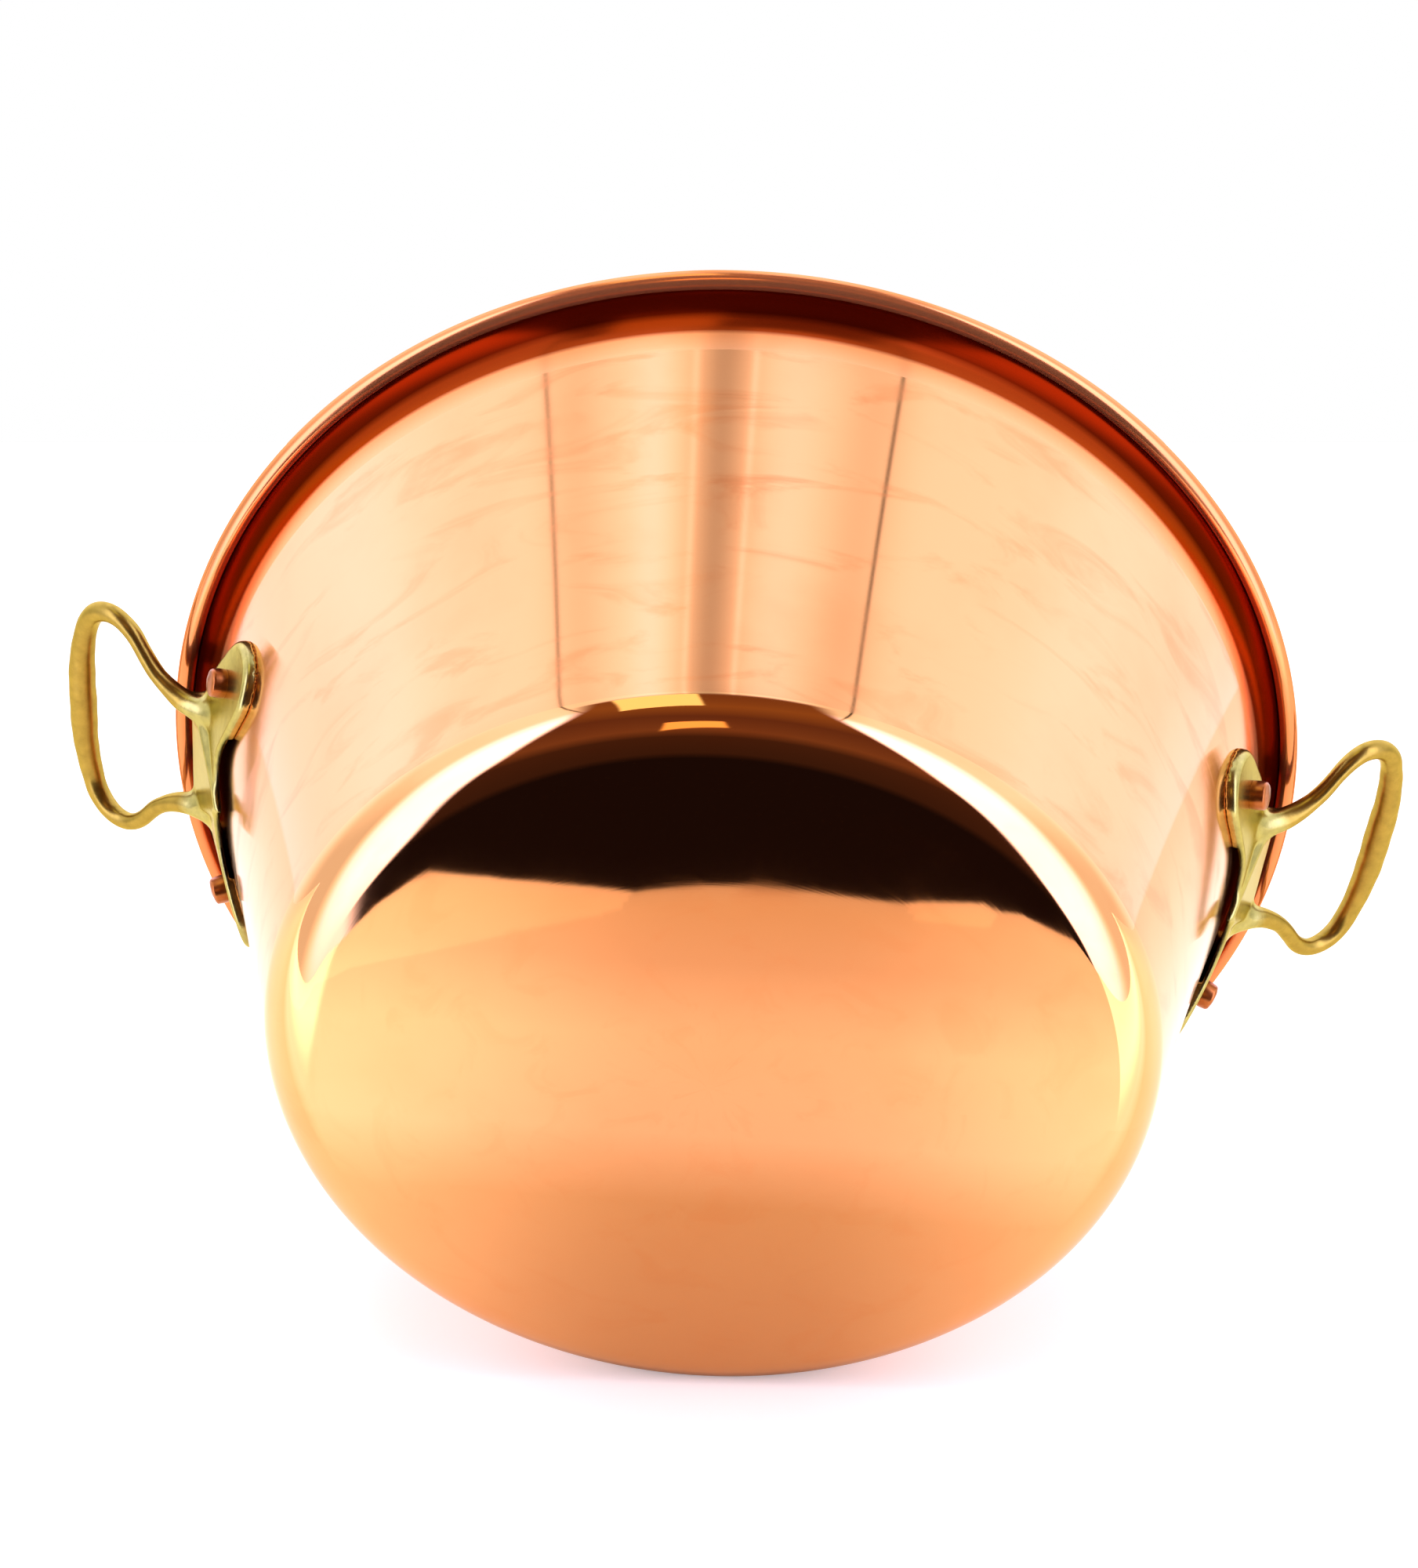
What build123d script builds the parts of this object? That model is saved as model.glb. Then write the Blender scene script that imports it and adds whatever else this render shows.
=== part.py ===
from build123d import *
import math
import os

# Copper jam pan: a spun copper bowl with a wired rim and two riveted brass handles.
# Millimetres, +Z up, origin at the middle of the base, handles on +X and -X.

# Driving sizes of the pan
rim_diameter = 380.0
pan_height = 156.0
base_flat_diameter = 239.0
sheet = 1.2
corner_radius = 15.0
wire_diameter = 3.4
# The wall is a long hollow arc: its lean changes by twice this angle from foot to lip
wall_bow = 2.4
# The lip flares on this radius, as seen from outside, until it leans this far from upright
lip_radius = 23.0
lip_lean = 60.0
# The sheet then goes round the wire by this angle, and stops just short of itself
curl_wrap = 292.0

# Driving sizes of a rivet: how far it is below the rim, its shank and its two heads
rivet_depth = 35.0
shank_diameter = 7.0
outer_head_diameter = 9.6
outer_head_height = 5.6
outer_head_edge = 1.0
inner_head_diameter = 14.0
inner_head_height = 2.2

# Driving sizes of a handle's plate, measured in its own plane from the row of rivets. Its top stops this
# far below the lip
plate_thickness = 3.6
plate_half_width = 58.6
plate_gap = 0.1
plate_drop = 22.4
plate_edge = 0.9
# The middle of the plate is a flat facet, this far from the wall at its foot and at its top
facet_low = 3.9
facet_high = 6.2
# Behind its middle the plate is hollow by this much, over this share of its width: its ears sit on the wall
relief_depth = 1.6
relief_share = 0.49

# Driving sizes of a handle's loop. The middle of its grip is this far outside and above the rim
loop_half_width = 42.5
grip_beyond_rim = 33.4
grip_above_rim = 5.0
arm_radius = 2.9
grip_radius = 4.75

# Half of the plate's outline, from the middle of its top round the ear to the cusp: shares of its half
# width, and of its rise (up) or drop (down)
outline_shares = [
    (0.00, 1.00), (0.36, 0.93), (0.52, 0.76), (0.68, 0.55), (0.83, 0.29), (0.97, 0.00), (1.00, -0.42),
    (0.94, -0.85), (0.81, -1.00), (0.66, -0.88), (0.50, -0.65), (0.30, -0.38), (0.00, -0.65),
]
# A rivet goes through an ear at this share of the half width
rivet_share = 0.703
# The outline crosses the handle's middle level at the top, and at this slope at the cusp
cusp_slope = 2.0
# The facet is widest at the first share of its height, and meets the plate's top at the second of its width
facet_corner_share = 0.9
facet_top_share = 0.8

# Points of the loop's line: shares of its half width, reach and rise, from the plate to the grip's middle
loop_shares = [
    (0.482, 0.113, 0.298), (0.489, 0.247, 0.390), (0.565, 0.382, 0.483), (0.700, 0.495, 0.565),
    (0.864, 0.585, 0.640), (0.990, 0.710, 0.740), (0.930, 0.870, 0.880), (0.700, 0.955, 0.965),
    (0.380, 0.995, 1.000), (0.000, 1.000, 1.000),
]
# Thickness at even steps from the plate to the grip's middle: 0 is the arm, 1 is the grip
swell_shares = [0.75, 0.55, 0.05, 0.0, 0.15, 0.4, 0.5, 0.7, 0.95, 1.0]

# How wide a slice of the pan, in degrees, is worked on behind one handle
slice_angle = 120.0
# Passes that settle the wall's lean
lean_passes = 40


def polar(centre, radius, degrees):
    """A point on a circle in the section plane, X outwards and Y up."""
    angle = math.radians(degrees)
    return (centre[0] + radius * math.cos(angle), centre[1] + radius * math.sin(angle))


def arc(centre, radius, start, end):
    """An arc about a centre, from one angle to another, in degrees."""
    middle = (start + end) / 2
    return ThreePointArc(polar(centre, radius, start), polar(centre, radius, middle), polar(centre, radius, end))


def pan_section():
    """Centres, radii and leans of the pan's outline: corner, hollow wall, lip and wire."""
    wire_radius = wire_diameter / 2
    bead = wire_radius + sheet
    wire = (rim_diameter / 2 - bead, pan_height - bead)
    corner = (base_flat_diameter / 2, corner_radius)
    lip_end = polar(wire, wire_radius, 180 - lip_lean)
    lip = polar(lip_end, lip_radius, -lip_lean)
    # The wall's ends depend on its mean lean, and that lean on them, so it is found by repetition
    lean = 0.0
    for _ in range(lean_passes):
        foot = polar(corner, corner_radius, wall_bow - lean)
        top = polar(lip, lip_radius, 180 - lean - wall_bow)
        lean = math.degrees(math.atan2(top[0] - foot[0], top[1] - foot[1]))
    radius = math.dist(foot, top) / 2 / math.sin(math.radians(wall_bow))
    return {
        "wire": wire, "bead": bead, "corner": corner, "lip": lip, "lip_end": lip_end,
        "low": lean - wall_bow, "high": lean + wall_bow,
        "radius": radius, "centre": polar(foot, radius, wall_bow - lean),
    }


section = pan_section()


def wall_at(height, offset=0.0):
    """Radius of the wall's outer face at a height, moved outwards by an offset."""
    x, y = section["centre"]
    return x - math.sqrt((section["radius"] - offset) ** 2 - (height - y) ** 2)


def wall_lean_at(height):
    """How far the wall leans from upright at a height, in degrees."""
    return math.degrees(math.asin((height - section["centre"][1]) / section["radius"]))


# Where the row of rivets is, and how far the plate and the loop reach from it
rivet_height = pan_height - rivet_depth
wall_top = polar(section["centre"], section["radius"], 180 - section["high"])[1]
plate_rise = (wall_top - plate_gap - rivet_height) / math.cos(math.radians(wall_lean_at(rivet_height)))
loop_reach = rim_diameter / 2 + grip_beyond_rim - wall_at(rivet_height)
loop_rise = grip_above_rim + rivet_depth


def spin(edges, angle=360.0):
    """Turns a closed outline, X outwards and Y up, about the pan's axis; a slice is centred on +X."""
    face = Plane.XZ * make_face(edges)
    start = 0.0 if angle == 360.0 else -angle / 2
    return revolve(Rot(0, 0, start) * face, Axis.Z, angle)


def outer_edges():
    """The outer face of the sheet from the middle of the base to the wire."""
    corner = section["corner"]
    return [
        Line((0, 0), (corner[0], 0)),
        arc(corner, corner_radius, -90, -section["low"]),
        arc(section["centre"], section["radius"], 180 - section["low"], 180 - section["high"]),
        arc(section["lip"], lip_radius, 180 - section["high"], 180 - lip_lean),
    ]


def inner_edges():
    """The inner face of the sheet from the wire to the middle of the base."""
    corner = section["corner"]
    return [
        arc(section["lip"], lip_radius + sheet, 180 - lip_lean, 180 - section["high"]),
        arc(section["centre"], section["radius"] + sheet, 180 - section["high"], 180 - section["low"]),
        arc(corner, corner_radius - sheet, -section["low"], -90),
        Line((corner[0], sheet), (0, sheet)),
    ]


def make_pan_body():
    """The copper sheet: base, corner, wall, flared lip and the curl round the wire."""
    wire, bead, wire_radius = section["wire"], section["bead"], wire_diameter / 2
    start = 180 - lip_lean
    end = start - curl_wrap
    curl = [
        arc(wire, wire_radius, start, end),
        Line(polar(wire, wire_radius, end), polar(wire, bead, end)),
        arc(wire, bead, end, start),
    ]
    return spin(outer_edges() + curl + inner_edges() + [Line((0, sheet), (0, 0))])


def make_rim_wire():
    """The wire ring inside the bead."""
    x, y = section["wire"]
    return Pos(0, 0, y) * Torus(x, wire_diameter / 2)


def filled_pan():
    """A slice of all that lies within the sheet's outer face."""
    end = section["lip_end"]
    return spin(outer_edges() + [Line(end, (0, end[1])), Line((0, end[1]), (0, 0))], slice_angle)


def wall_band(thickness, sunk=0.0):
    """A slice of a band that lies on the wall's outer face, or is sunk into it: this thick, above the face."""
    low, high = 180 - section["low"], 180 - section["high"]
    wall, near, far = section["centre"], section["radius"] + sunk, section["radius"] - thickness
    edges = [
        arc(wall, near, low, high),
        Line(polar(wall, near, high), polar(wall, far, high)),
        arc(wall, far, high, low),
        Line(polar(wall, far, low), polar(wall, near, low)),
    ]
    return spin(edges, slice_angle)


def within_wall(offset):
    """A slice of all that lies within the wall's outer face, once that face is moved outwards by an offset."""
    low, high = 180 - section["low"], 180 - section["high"]
    wall, radius = section["centre"], section["radius"] - offset
    foot, top = polar(wall, radius, low), polar(wall, radius, high)
    return spin([Line((0, foot[1]), foot), arc(wall, radius, low, high), Polyline(top, (0, top[1]), (0, foot[1]))],
                slice_angle)


def wall_plane(turn):
    """A plane on the wall at the rivets' height: X along the rim, Z outwards, turned about the pan's axis."""
    lean = math.radians(wall_lean_at(rivet_height))
    origin = (wall_at(rivet_height), 0, rivet_height)
    plane = Plane(origin, x_dir=(0, 1, 0), z_dir=(math.cos(lean), 0, -math.sin(lean)))
    return Plane(Rot(0, 0, turn) * plane.location)


def plate_point(shares):
    """A point of the plate's outline from its shares."""
    across, along = shares
    return (across * plate_half_width, along * (plate_rise if along > 0 else plate_drop))


def mirrored(points):
    """The same points on the other side of the handle's middle, in reverse."""
    return [(-x, y) for x, y in reversed(points)]


def plate_outline():
    """The plate seen square on: two drooping ears, an ogee beside each and a cusp between them."""
    half = [plate_point(shares) for shares in outline_shares]
    right = Spline(*half, tangents=[(1, 0), (-1, -cusp_slope)])
    return make_face([right, mirror(right, Plane.YZ)])


def on_front(edge):
    """Whether an edge lies on the plate's front face, all along."""
    points = [edge @ share for share in (0.0, 0.5, 1.0)]
    return all(math.hypot(point.X, point.Y) > wall_at(point.Z, plate_thickness) - sheet / 10 for point in points)


def make_plate():
    """The plate: a band on the wall cut to the outline, with its front edge rounded."""
    block = extrude(wall_plane(0) * plate_outline(), plate_half_width / 2, both=True)
    plate = block & wall_band(plate_thickness)
    return fillet([edge for edge in plate.edges() if on_front(edge)], plate_edge)


def make_facet():
    """The flat middle of the plate: it runs from the cusp up to both arms, and thickens upwards."""
    foot = plate_point(outline_shares[-1])[1]
    height = plate_rise - foot
    slope = math.degrees(math.atan2(facet_high - facet_low, height))
    wide = plate_point(outline_shares[1])[0]
    right = [(0, 0), (wide, height * facet_corner_share), (wide * facet_top_share, height)]
    front = wall_plane(0) * Plane((0, foot, facet_low)) * Rot(slope, 0, 0)
    return extrude(front * make_face(Polyline(*right, *mirrored(right))), -2 * facet_high)


def make_relief():
    """What is cut from behind the plate's middle."""
    face = Rectangle(2 * relief_share * plate_half_width, 2 * plate_half_width)
    block = extrude(wall_plane(0) * face, plate_half_width / 2, both=True)
    return block & wall_band(relief_depth, sheet)


def loop_line():
    """The loop's line as one spline: out of the plate, round the grip and back."""
    start = wall_plane(0).origin
    half = [
        Vector(start.X + out * loop_reach, across * loop_half_width, start.Z + up * loop_rise)
        for across, out, up in loop_shares
    ]
    return Spline(*half, *[Vector(point.X, -point.Y, point.Z) for point in reversed(half[:-1])])


def make_loop():
    """The loop: round sections along its line, thin in the arms and thick in the grip."""
    line = loop_line()
    shares = swell_shares + swell_shares[-2::-1]
    across = Vector(-loop_rise, 0, loop_reach)
    sections = []
    for index, share in enumerate(shares):
        place = index / (len(shares) - 1)
        plane = Plane(line @ place, x_dir=across, z_dir=line % place)
        sections.append(plane * Circle(arm_radius + share * (grip_radius - arm_radius)))
    return loft(sections)


def make_handle():
    """The right handle's casting before it is drilled: plate, facet and loop in one."""
    pan = filled_pan()
    return make_plate() + (make_facet() - pan) + (make_loop() - pan) - make_relief()


def pillar(diameter, start, end):
    """A cylinder along Z between two heights."""
    return Pos(0, 0, start) * Cylinder(
        diameter / 2, end - start, align=(Align.CENTER, Align.CENTER, Align.MIN)
    )


def make_rivet(plane):
    """A solid rivet: low domed head inside, shank, and the upset barrel head outside."""
    inner_end, outer_end = -sheet - inner_head_height, plate_thickness + outer_head_height
    outer = pillar(outer_head_diameter, 0, outer_end)
    outer = fillet(outer.edges().sort_by(Axis.Z)[-1], outer_head_edge)
    crown = (inner_head_diameter ** 2 / 4 + inner_head_height ** 2) / 2 / inner_head_height
    inner = pillar(inner_head_diameter, inner_end, 0) & Pos(0, 0, inner_end + crown) * Sphere(crown)
    shank = pillar(shank_diameter, inner_end + inner_head_height / 2, outer_end - outer_head_height / 2)
    outer = plane * outer - within_wall(plate_thickness)
    inner = plane * inner & within_wall(-sheet)
    return outer + plane * shank + inner


def main():
    """Makes each piece and writes it to its own file."""
    os.makedirs("parts", exist_ok=True)
    handle, pan = make_handle(), make_pan_body()
    turn = math.degrees(math.asin(rivet_share * plate_half_width / wall_at(rivet_height)))
    planes = [wall_plane(-turn), wall_plane(turn)]
    rivets = [make_rivet(plane) for plane in planes]
    holes = [plane * pillar(shank_diameter, -2 * inner_head_height, 2 * outer_head_height) for plane in planes]
    for hole in holes:
        handle -= hole
        pan = pan - hole - Rot(0, 0, 180) * hole
    export_step(pan, "parts/pan_body.step")
    export_step(make_rim_wire(), "parts/rim_wire.step")
    for side, half_turn, ends in (("right", 0, ("front", "back")), ("left", 180, ("back", "front"))):
        export_step(Rot(0, 0, half_turn) * handle, f"parts/{side}_handle.step")
        for end, rivet in zip(ends, rivets):
            export_step(Rot(0, 0, half_turn) * rivet, f"parts/{side}_{end}_rivet.step")


main()
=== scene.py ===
"""A copper jam pan: a spun copper bowl with a wired rim, two cast brass handles and four copper rivets.

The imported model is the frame. Each new piece lies on the node that it replaces, in metres, +Z up.
The photograph shows the pan lying on its side with its base to the camera, so the studio is built round that.
"""

import bpy
import numpy as np
from mathutils import Matrix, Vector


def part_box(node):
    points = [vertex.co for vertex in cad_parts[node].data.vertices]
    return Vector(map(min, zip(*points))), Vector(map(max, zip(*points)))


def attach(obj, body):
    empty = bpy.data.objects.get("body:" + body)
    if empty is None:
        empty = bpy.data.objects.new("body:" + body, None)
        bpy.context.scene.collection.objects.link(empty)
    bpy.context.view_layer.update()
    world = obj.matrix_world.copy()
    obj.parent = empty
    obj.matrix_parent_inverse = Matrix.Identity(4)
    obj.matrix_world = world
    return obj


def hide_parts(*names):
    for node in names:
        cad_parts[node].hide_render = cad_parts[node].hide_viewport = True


bl_info = {
    "name": "Copper jam pan",
    "version": (1, 0, 0),
    "blender": (4, 5, 0),
    "location": "View3D > Sidebar > Jam pan",
    "description": "Dresses a jam pan: copper sheet, brass handles, rivets, finishes and studio",
    "category": "Object",
}

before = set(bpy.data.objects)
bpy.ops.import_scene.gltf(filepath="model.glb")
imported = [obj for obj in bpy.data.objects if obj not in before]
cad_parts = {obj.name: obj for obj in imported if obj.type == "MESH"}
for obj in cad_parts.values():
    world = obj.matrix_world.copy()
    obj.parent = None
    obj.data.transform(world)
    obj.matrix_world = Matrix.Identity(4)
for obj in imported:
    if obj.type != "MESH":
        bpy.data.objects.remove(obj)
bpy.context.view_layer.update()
pan_low, pan_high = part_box("pan_body")


def colour(text):
    """Linear red, green and blue of an sRGB hex colour."""
    parts = np.array([int(text[i:i + 2], 16) for i in (1, 3, 5)]) / 255
    return np.where(parts <= 0.04045, parts / 12.92, ((parts + 0.055) / 1.055) ** 2.4).tolist()


def length(name, description, default):
    """A length in metres for the sidebar."""
    return bpy.props.FloatProperty(
        name=name, description=description, default=default, unit="LENGTH", precision=5)


def angle_in_degrees(name, description, default):
    """An angle in degrees for the sidebar."""
    return bpy.props.FloatProperty(name=name, description=description, default=default)


def paint(name, description, default):
    """A colour for the sidebar, written as an sRGB hex value."""
    return bpy.props.FloatVectorProperty(
        name=name, description=description, default=colour(default), subtype="COLOR", min=0, max=1)


class PanSizes(bpy.types.PropertyGroup):
    """Sizes of the copper sheet."""
    rim_diameter: length("Rim", "Diameter over the rolled rim", pan_high.x - pan_low.x)
    height: length("Height", "From the base to the top of the rim", pan_high.z - pan_low.z)
    base_flat: length("Flat base", "Diameter of the flat of the base", 0.239)
    sheet: length("Sheet", "Thickness of the copper", 0.0012)
    corner: length("Corner", "Outer radius between base and wall", 0.015)
    wire: length("Wire", "Diameter of the wire in the rim", 0.0034)
    lip_radius: length("Lip radius", "Radius on which the wall flares into the rim", 0.023)
    lip_lean: angle_in_degrees("Lip lean", "Lean of the lip where it meets the wire", 60)
    wall_bow: angle_in_degrees("Wall bow", "Half the change of the wall's lean", 2.4)
    waviness: length("Waviness", "Height of the slow waves that spinning leaves in the sheet", 0.00006)


class HandleSizes(bpy.types.PropertyGroup):
    """Sizes of a cast handle, measured from the middle of its row of rivets."""
    rivet_height: length("Rivet height", "Height of the rivets on the wall", 0.121)
    rivet_pitch: length("Rivet pitch", "Between the two rivets of a handle", 0.0824)
    half_width: length("Half width", "From the middle of the plate to the end of an ear", 0.0586)
    rise: length("Rise", "Plate above the rivets", 0.0228)
    drop: length("Drop", "Plate below the rivets", 0.0224)
    thickness: length("Thickness", "Thickness of the plate's wings", 0.0036)
    facet_low: length("Facet foot", "From the wall to the middle facet, at the cusp", 0.0039)
    facet_high: length("Facet top", "From the wall to the middle facet, at the top", 0.0062)
    edge: length("Edge", "Rounding of the plate's front edge", 0.0017)
    back_edge: length("Back edge", "Rounding of the plate's edge towards the wall", 0.0003)
    relief: length("Relief", "Depth of the hollow behind the middle of the plate", 0.0016)
    relief_half: length("Relief half width", "From the middle to the end of the hollow", 0.0287)
    root: length("Root", "Width of the fillet where an arm grows out of the plate", 0.0035)
    loop_half_width: length("Loop half width", "From the middle to the outside of the loop", 0.0425)
    loop_reach: length("Loop reach", "From the wall out to the grip", 0.055)
    loop_rise: length("Loop rise", "From the rivets up to the grip", 0.04)
    arm: length("Arm radius", "Radius of an arm", 0.0029)
    grip: length("Grip radius", "Radius of the grip", 0.00475)


class RivetSizes(bpy.types.PropertyGroup):
    """Sizes of a rivet."""
    outer_head: length("Outer head", "Diameter of the upset head outside", 0.0096)
    outer_height: length("Outer height", "Height of the head outside", 0.0056)
    inner_head: length("Inner head", "Diameter of the low head inside", 0.014)
    inner_height: length("Inner height", "Height of the head inside", 0.0022)
    shank: length("Shank", "Diameter of the shank", 0.007)


class Finishes(bpy.types.PropertyGroup):
    """Colours of the metals."""
    wall: paint("Brushed copper", "Wall of the pan", "#F8AD79")
    base: paint("Polished copper", "Base of the pan", "#F8B47C")
    inside: paint("Inside copper", "Inside of the pan", "#F3B084")
    plate: paint("Polished brass", "Plate of a handle", "#B9AC66")
    grip: paint("Cast brass", "Loop of a handle", "#AE9040")
    rivet: paint("Rivet copper", "Heads of the rivets", "#C07C48")


class StudioSizes(bpy.types.PropertyGroup):
    """The camera and the table that the pan lies on."""
    lens: bpy.props.FloatProperty(
        name="Lens", description="Focal length", default=62.4776, subtype="DISTANCE_CAMERA")
    distance: length("Distance", "From the camera to the base, along the view", 0.8041875)


# Length in metres, direction and phase of each slow wave of the sheet
slow_waves = ((0.16, 0.3, 0.5), (0.11, 1.4, 2.1), (0.083, 2.5, 4.0), (0.061, 0.9, 1.3))
# Half of the plate's outline, from the middle of its top round the ear to the cusp: shares of its half
# width, and of its rise (up) or drop (down)
outline_shares = np.array([
    (0.00, 1.00), (0.36, 0.93), (0.52, 0.76), (0.68, 0.55), (0.83, 0.29), (0.97, 0.00), (1.00, -0.42),
    (0.94, -0.85), (0.81, -1.00), (0.66, -0.88), (0.50, -0.65), (0.30, -0.38), (0.00, -0.65)])
# Slope of the outline where it ends in the cusp
cusp_slope = 2.0
# Points of the loop's line: shares of its half width, reach and rise, from the plate to the grip's middle
loop_shares = np.array([
    (0.482, 0.113, 0.298), (0.489, 0.247, 0.390), (0.565, 0.382, 0.483), (0.700, 0.495, 0.565),
    (0.864, 0.585, 0.640), (0.990, 0.710, 0.740), (0.930, 0.870, 0.880), (0.700, 0.955, 0.965),
    (0.380, 0.995, 1.000), (0.000, 1.000, 1.000)])
# Thickness at even steps from the plate to the grip's middle: 0 is the arm, 1 is the grip
swell_shares = np.array([0.75, 0.55, 0.05, 0.0, 0.15, 0.4, 0.5, 0.7, 0.95, 1.0])


def polar(centre, radius, degrees):
    """Points on a circle in the section plane: centre + radius (cos, sin), X outwards and Y up."""
    angle = np.radians(degrees)
    return np.stack([centre[0] + radius * np.cos(angle), centre[1] + radius * np.sin(angle)], axis=-1)


def arc(centre, radius, start, end, count):
    """Evenly spaced points of an arc, from one angle to another."""
    return polar(centre, radius, np.linspace(start, end, count))


def level(start, end, height, count):
    """Evenly spaced points of a level line, from one radius to another."""
    return np.stack([np.linspace(start, end, count), np.full(count, height)], axis=-1)


def travel(line):
    """The way along a line, from its first point to each of its points."""
    return np.concatenate([[0], np.cumsum(np.linalg.norm(np.diff(line, axis=0), axis=1))])


def fading(distance, end, width):
    """1 where a distance is small, falling to 0 at its end over a width."""
    return np.clip((end - distance) / width, 0, 1)


def placed(x, y, z, origin):
    """The matrix with these axes and this origin."""
    place = np.eye(4)
    place[:3] = np.stack([x, y, z, origin], axis=-1)
    return Matrix(place.tolist())


def pan_section(sizes):
    """Centres, radii and leans, in degrees, of the pan's section: corner, hollow wall, lip and wire. The
    wall is an arc that runs smoothly into the corner's and the lip's; its lean is found in rounds."""
    wire_radius = sizes.wire / 2
    bead = wire_radius + sizes.sheet
    wire = np.array([sizes.rim_diameter / 2 - bead, sizes.height - bead])
    corner = np.array([sizes.base_flat / 2, sizes.corner])
    lip = polar(polar(wire, wire_radius, 180 - sizes.lip_lean), sizes.lip_radius, -sizes.lip_lean)
    lean, rounds = 0.0, 40
    for _ in range(rounds):
        foot = polar(corner, sizes.corner, sizes.wall_bow - lean)
        top = polar(lip, sizes.lip_radius, 180 - lean - sizes.wall_bow)
        lean = np.degrees(np.arctan2(*(top - foot)))
    radius = np.linalg.norm(top - foot) / 2 / np.sin(np.radians(sizes.wall_bow))
    return {"wire": wire, "wire_radius": wire_radius, "bead": bead, "corner": corner, "lip": lip, "top": top,
            "low": lean - sizes.wall_bow, "high": lean + sizes.wall_bow, "radius": radius,
            "centre": polar(foot, radius, sizes.wall_bow - lean)}


def wall_radius(section, height):
    """Radius of the wall's outer face at a height: the near side of the wall's arc."""
    x, y = section["centre"]
    return x - np.sqrt(section["radius"] ** 2 - (height - y) ** 2)


def wall_lean(section, height):
    """Lean of the wall at a height, in radians."""
    return np.arcsin((height - section["centre"][1]) / section["radius"])


def build(name, points, faces, uv=None):
    """A mesh object from arrays, smooth, with one UV pair for each face corner."""
    mesh = bpy.data.meshes.new(name)
    mesh.from_pydata(points, [], faces)
    if uv is not None:
        mesh.uv_layers.new(name="around").data.foreach_set("uv", np.asarray(uv, np.float32).ravel())
    mesh.validate()
    mesh.shade_smooth()
    piece = bpy.data.objects.new(name, mesh)
    bpy.context.scene.collection.objects.link(piece)
    return piece


def turned(name, profile, around, shift):
    """A closed surface of revolution. A profile (r, z) from pole to pole is carried round +Z: the point at
    turn t is (r cos t, r sin t, z), moved by what shift gives for it. The UV map holds the way along the
    profile in metres, and the share of the turn."""
    turn = np.arange(around) * 2 * np.pi / around
    ring = profile[1:-1]
    points = np.stack([ring[:, :1] * np.cos(turn), ring[:, :1] * np.sin(turn),
                       np.repeat(ring[:, 1:], around, axis=1)], axis=-1).reshape(-1, 3)
    poles = np.array([[0, 0, profile[0, 1]], [0, 0, profile[-1, 1]]])
    points += shift(points)
    row = np.arange(len(ring) - 1)[:, None, None] + (0, 0, 1, 1)
    column = np.arange(around)[:, None] + (0, 1, 1, 0)
    quads = (row * around + column % around).reshape(-1, 4)
    first, then = column[:, 0], column[:, 1] % around
    last = (len(ring) - 1) * around
    low = np.stack([np.full(around, len(points)), then, first], axis=-1)
    high = np.stack([last + first, last + then, np.full(around, len(points) + 1)], axis=-1)
    way = travel(profile)
    uv = [np.stack(np.broadcast_arrays(ways, turns / around), axis=-1).reshape(-1, 2) for ways, turns in (
        (way[row + 1], column),
        (way[[0, 1, 1]], first[:, None] + (0.5, 1, 0)),
        (way[[-2, -2, -1]], first[:, None] + (0, 1, 0.5)))]
    faces = quads.tolist() + low.tolist() + high.tolist()
    return build(name, np.concatenate([points, poles]), faces, np.concatenate(uv))


def sheet_profile(sizes, section):
    """The sheet's closed section from the middle of the base, up the outside, round the wire and back down
    the inside, in level runs and arcs, and how many points there are up to the end of each run."""
    corner, wire, lip, wall = section["corner"], section["wire"], section["lip"], section["centre"]
    sheet, low, high = sizes.sheet, section["low"], section["high"]
    half = sheet / 2
    middle = section["wire_radius"] + half
    # Degrees that the lip wraps round the wire, up to its half-round edge
    wrap = 296
    start = 180 - sizes.lip_lean
    end = start - wrap
    runs = [
        level(0, corner[0], 0.0, 16),
        arc(corner, sizes.corner, -90, -low, 16)[1:],
        arc(wall, section["radius"], 180 - low, 180 - high, 34)[1:],
        arc(lip, sizes.lip_radius, 180 - high, start, 14)[1:],
        arc(wire, section["wire_radius"], start, end, 22)[1:],
        arc(polar(wire, middle, end), half, end - 180, end - 360, 6)[1:-1],
        arc(wire, section["bead"], end, start, 44),
        arc(lip, sizes.lip_radius + sheet, start, 180 - high, 14)[1:],
        arc(wall, section["radius"] + sheet, 180 - high, 180 - low, 28)[1:],
        arc(corner, sizes.corner - sheet, -low, -90, 12)[1:],
        level(corner[0], 0, sheet, 12)[1:],
    ]
    return np.concatenate(runs), np.cumsum([len(run) for run in runs])


def waves(points, height):
    """Slow waves of the sheet: a sum of sines across the pan, each smaller than the one before."""
    x, y = points[:, 0], points[:, 1]
    total = np.zeros(len(points))
    for k, (wave, angle, phase) in enumerate(slow_waves):
        total += np.sin(2 * np.pi * (x * np.cos(angle) + y * np.sin(angle)) / wave + phase) / (1 + k)
    return height * total


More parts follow.
